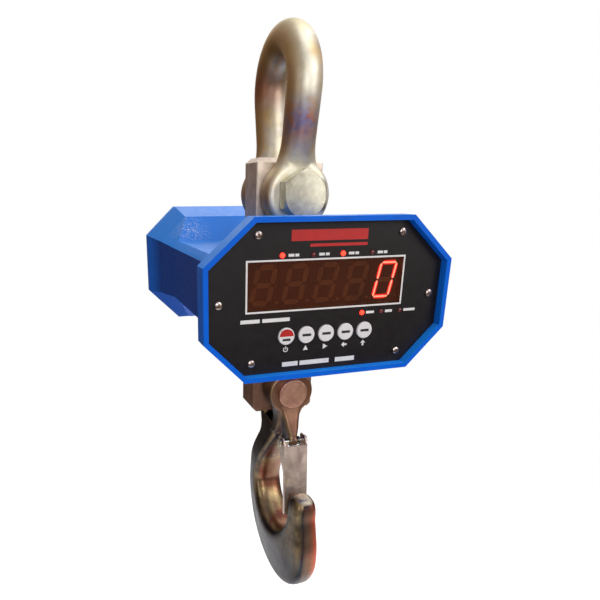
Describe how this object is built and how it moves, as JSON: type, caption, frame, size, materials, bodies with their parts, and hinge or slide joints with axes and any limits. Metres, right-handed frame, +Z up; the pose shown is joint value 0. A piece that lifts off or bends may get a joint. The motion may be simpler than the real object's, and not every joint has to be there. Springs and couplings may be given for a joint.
{
  "type": "hanging crane scale",
  "caption": "Hanging crane scale: shackle on a load cell, blue cast octagonal housing with red digital display and round keys, swivelling hook with a safety latch.",
  "frame": {"origin": "point inside the shackle bow where the crane hook bears", "axes": "+Z up along the load line, +X to the right of the display, -Y towards the reader"},
  "size_m": [0.2014, 0.242, 0.5074],
  "materials": {
    "shackle_forging": "forged, zinc plated with yellow-gold chromate, violet and brown tints",
    "shackle_bolt_steel": "bright zinc",
    "nut_steel": "zinc plated",
    "split_pin_steel": "zinc plated",
    "cell_steel": "ground, satin grey-brown",
    "gauge_cover_steel": "turned",
    "bracket_steel": "bent sheet, zinc plated",
    "dark_screw": "blackened steel",
    "seal_rubber": "moulded, dull",
    "cable_jacket": "grey jacket",
    "blue_enamel": "gloss enamel with a slight orange peel",
    "panel_black": "printed film on sheet, fine grain",
    "gasket_rubber": "closed-cell foam",
    "bright_screw": "nickel plated",
    "red_window": "smoked red acrylic, gloss",
    "digit_plastic": "dark face with pale segments",
    "lamp_lens": "tinted epoxy",
    "key_white": "moulded",
    "switch_black": "moulded",
    "circuit_board": "green solder mask",
    "standoff_brass": "turned",
    "board_parts": "moulded",
    "rear_enamel": "gloss enamel",
    "battery_case": "moulded",
    "strap_webbing": "woven",
    "socket_plastic": "moulded",
    "cap_rubber": "moulded",
    "hook_forging": "forged, dark zinc with gold and violet tints",
    "hook_pin_steel": "turned face, pinkish-bronze tint",
    "latch_steel": "pressed sheet, satin",
    "latch_rivet_steel": "zinc plated",
    "spring_steel": "wire"
  },
  "bodies": {
    "shackle": {"shackle_bow": "shackle_forging", "shackle_bolt": "shackle_bolt_steel", "shackle_nut": "nut_steel", "shackle_split_pin": "split_pin_steel"},
    "scale": {"load_cell": "cell_steel", "gauge_covers": "gauge_cover_steel", "cell_brackets": "bracket_steel", "bracket_screws": "dark_screw", "top_cell_seal": "seal_rubber", "lower_cell_seal": "seal_rubber", "cell_cable": "cable_jacket", "housing_body": "blue_enamel", "front_panel": "panel_black", "front_gasket": "gasket_rubber", "front_panel_screws": "bright_screw", "display_window": "red_window", "digit_modules": "digit_plastic", "indicator_lamps": "lamp_lens", "key_switches": "switch_black", "display_board": "circuit_board", "display_standoffs": "standoff_brass", "main_board": "circuit_board", "main_board_parts": "board_parts", "board_spacers": "standoff_brass", "rear_cover": "rear_enamel", "rear_gasket": "gasket_rubber", "rear_cover_screws": "bright_screw", "battery_pack": "battery_case", "battery_tray": "bracket_steel", "battery_strap": "strap_webbing", "charge_socket": "socket_plastic", "charge_cap": "cap_rubber"},
    "hook_block": {"hook": "hook_forging", "hook_pin": "hook_pin_steel", "hook_pin_nut": "nut_steel", "hook_split_pin": "split_pin_steel", "latch_rivet": "latch_rivet_steel", "latch_spring": "spring_steel"},
    "latch": {"safety_latch": "latch_steel"},
    "key_power_cap": {"key_power": "key_white"},
    "key_zero_cap": {"key_zero": "key_white"},
    "key_tare_cap": {"key_tare": "key_white"},
    "key_hold_cap": {"key_hold": "key_white"},
    "key_function_cap": {"key_function": "key_white"}
  },
  "joints": [
    {"name": "scale_swing", "type": "hinge", "parent": "shackle", "child": "scale", "pos_m": [0, 0, -0.106], "axis": [0, 1, 0], "range_deg": [-90, 90]},
    {"name": "hook_swing", "type": "hinge", "parent": "scale", "child": "hook_block", "pos_m": [0, 0, -0.279], "axis": [0, 1, 0], "range_deg": [-90, 90]},
    {"name": "latch_open", "type": "hinge", "parent": "hook_block", "child": "latch", "pos_m": [0, -0.042, -0.325], "axis": [1, 0, 0], "range_deg": [0, 42], "stiffness_Nm_per_rad": 0.02, "springref_deg": -34.38, "deforming": ["latch_spring"]},
    {"name": "key_power_press", "type": "slide", "parent": "scale", "child": "key_power_cap", "axis": [0, 1, 0], "range_m": [0, 0.0008], "stiffness_N_per_m": 500, "springref_m": -0.0006},
    {"name": "key_zero_press", "type": "slide", "parent": "scale", "child": "key_zero_cap", "axis": [0, 1, 0], "range_m": [0, 0.0008], "stiffness_N_per_m": 500, "springref_m": -0.0006},
    {"name": "key_tare_press", "type": "slide", "parent": "scale", "child": "key_tare_cap", "axis": [0, 1, 0], "range_m": [0, 0.0008], "stiffness_N_per_m": 500, "springref_m": -0.0006},
    {"name": "key_hold_press", "type": "slide", "parent": "scale", "child": "key_hold_cap", "axis": [0, 1, 0], "range_m": [0, 0.0008], "stiffness_N_per_m": 500, "springref_m": -0.0006},
    {"name": "key_function_press", "type": "slide", "parent": "scale", "child": "key_function_cap", "axis": [0, 1, 0], "range_m": [0, 0.0008], "stiffness_N_per_m": 500, "springref_m": -0.0006}
  ]
}
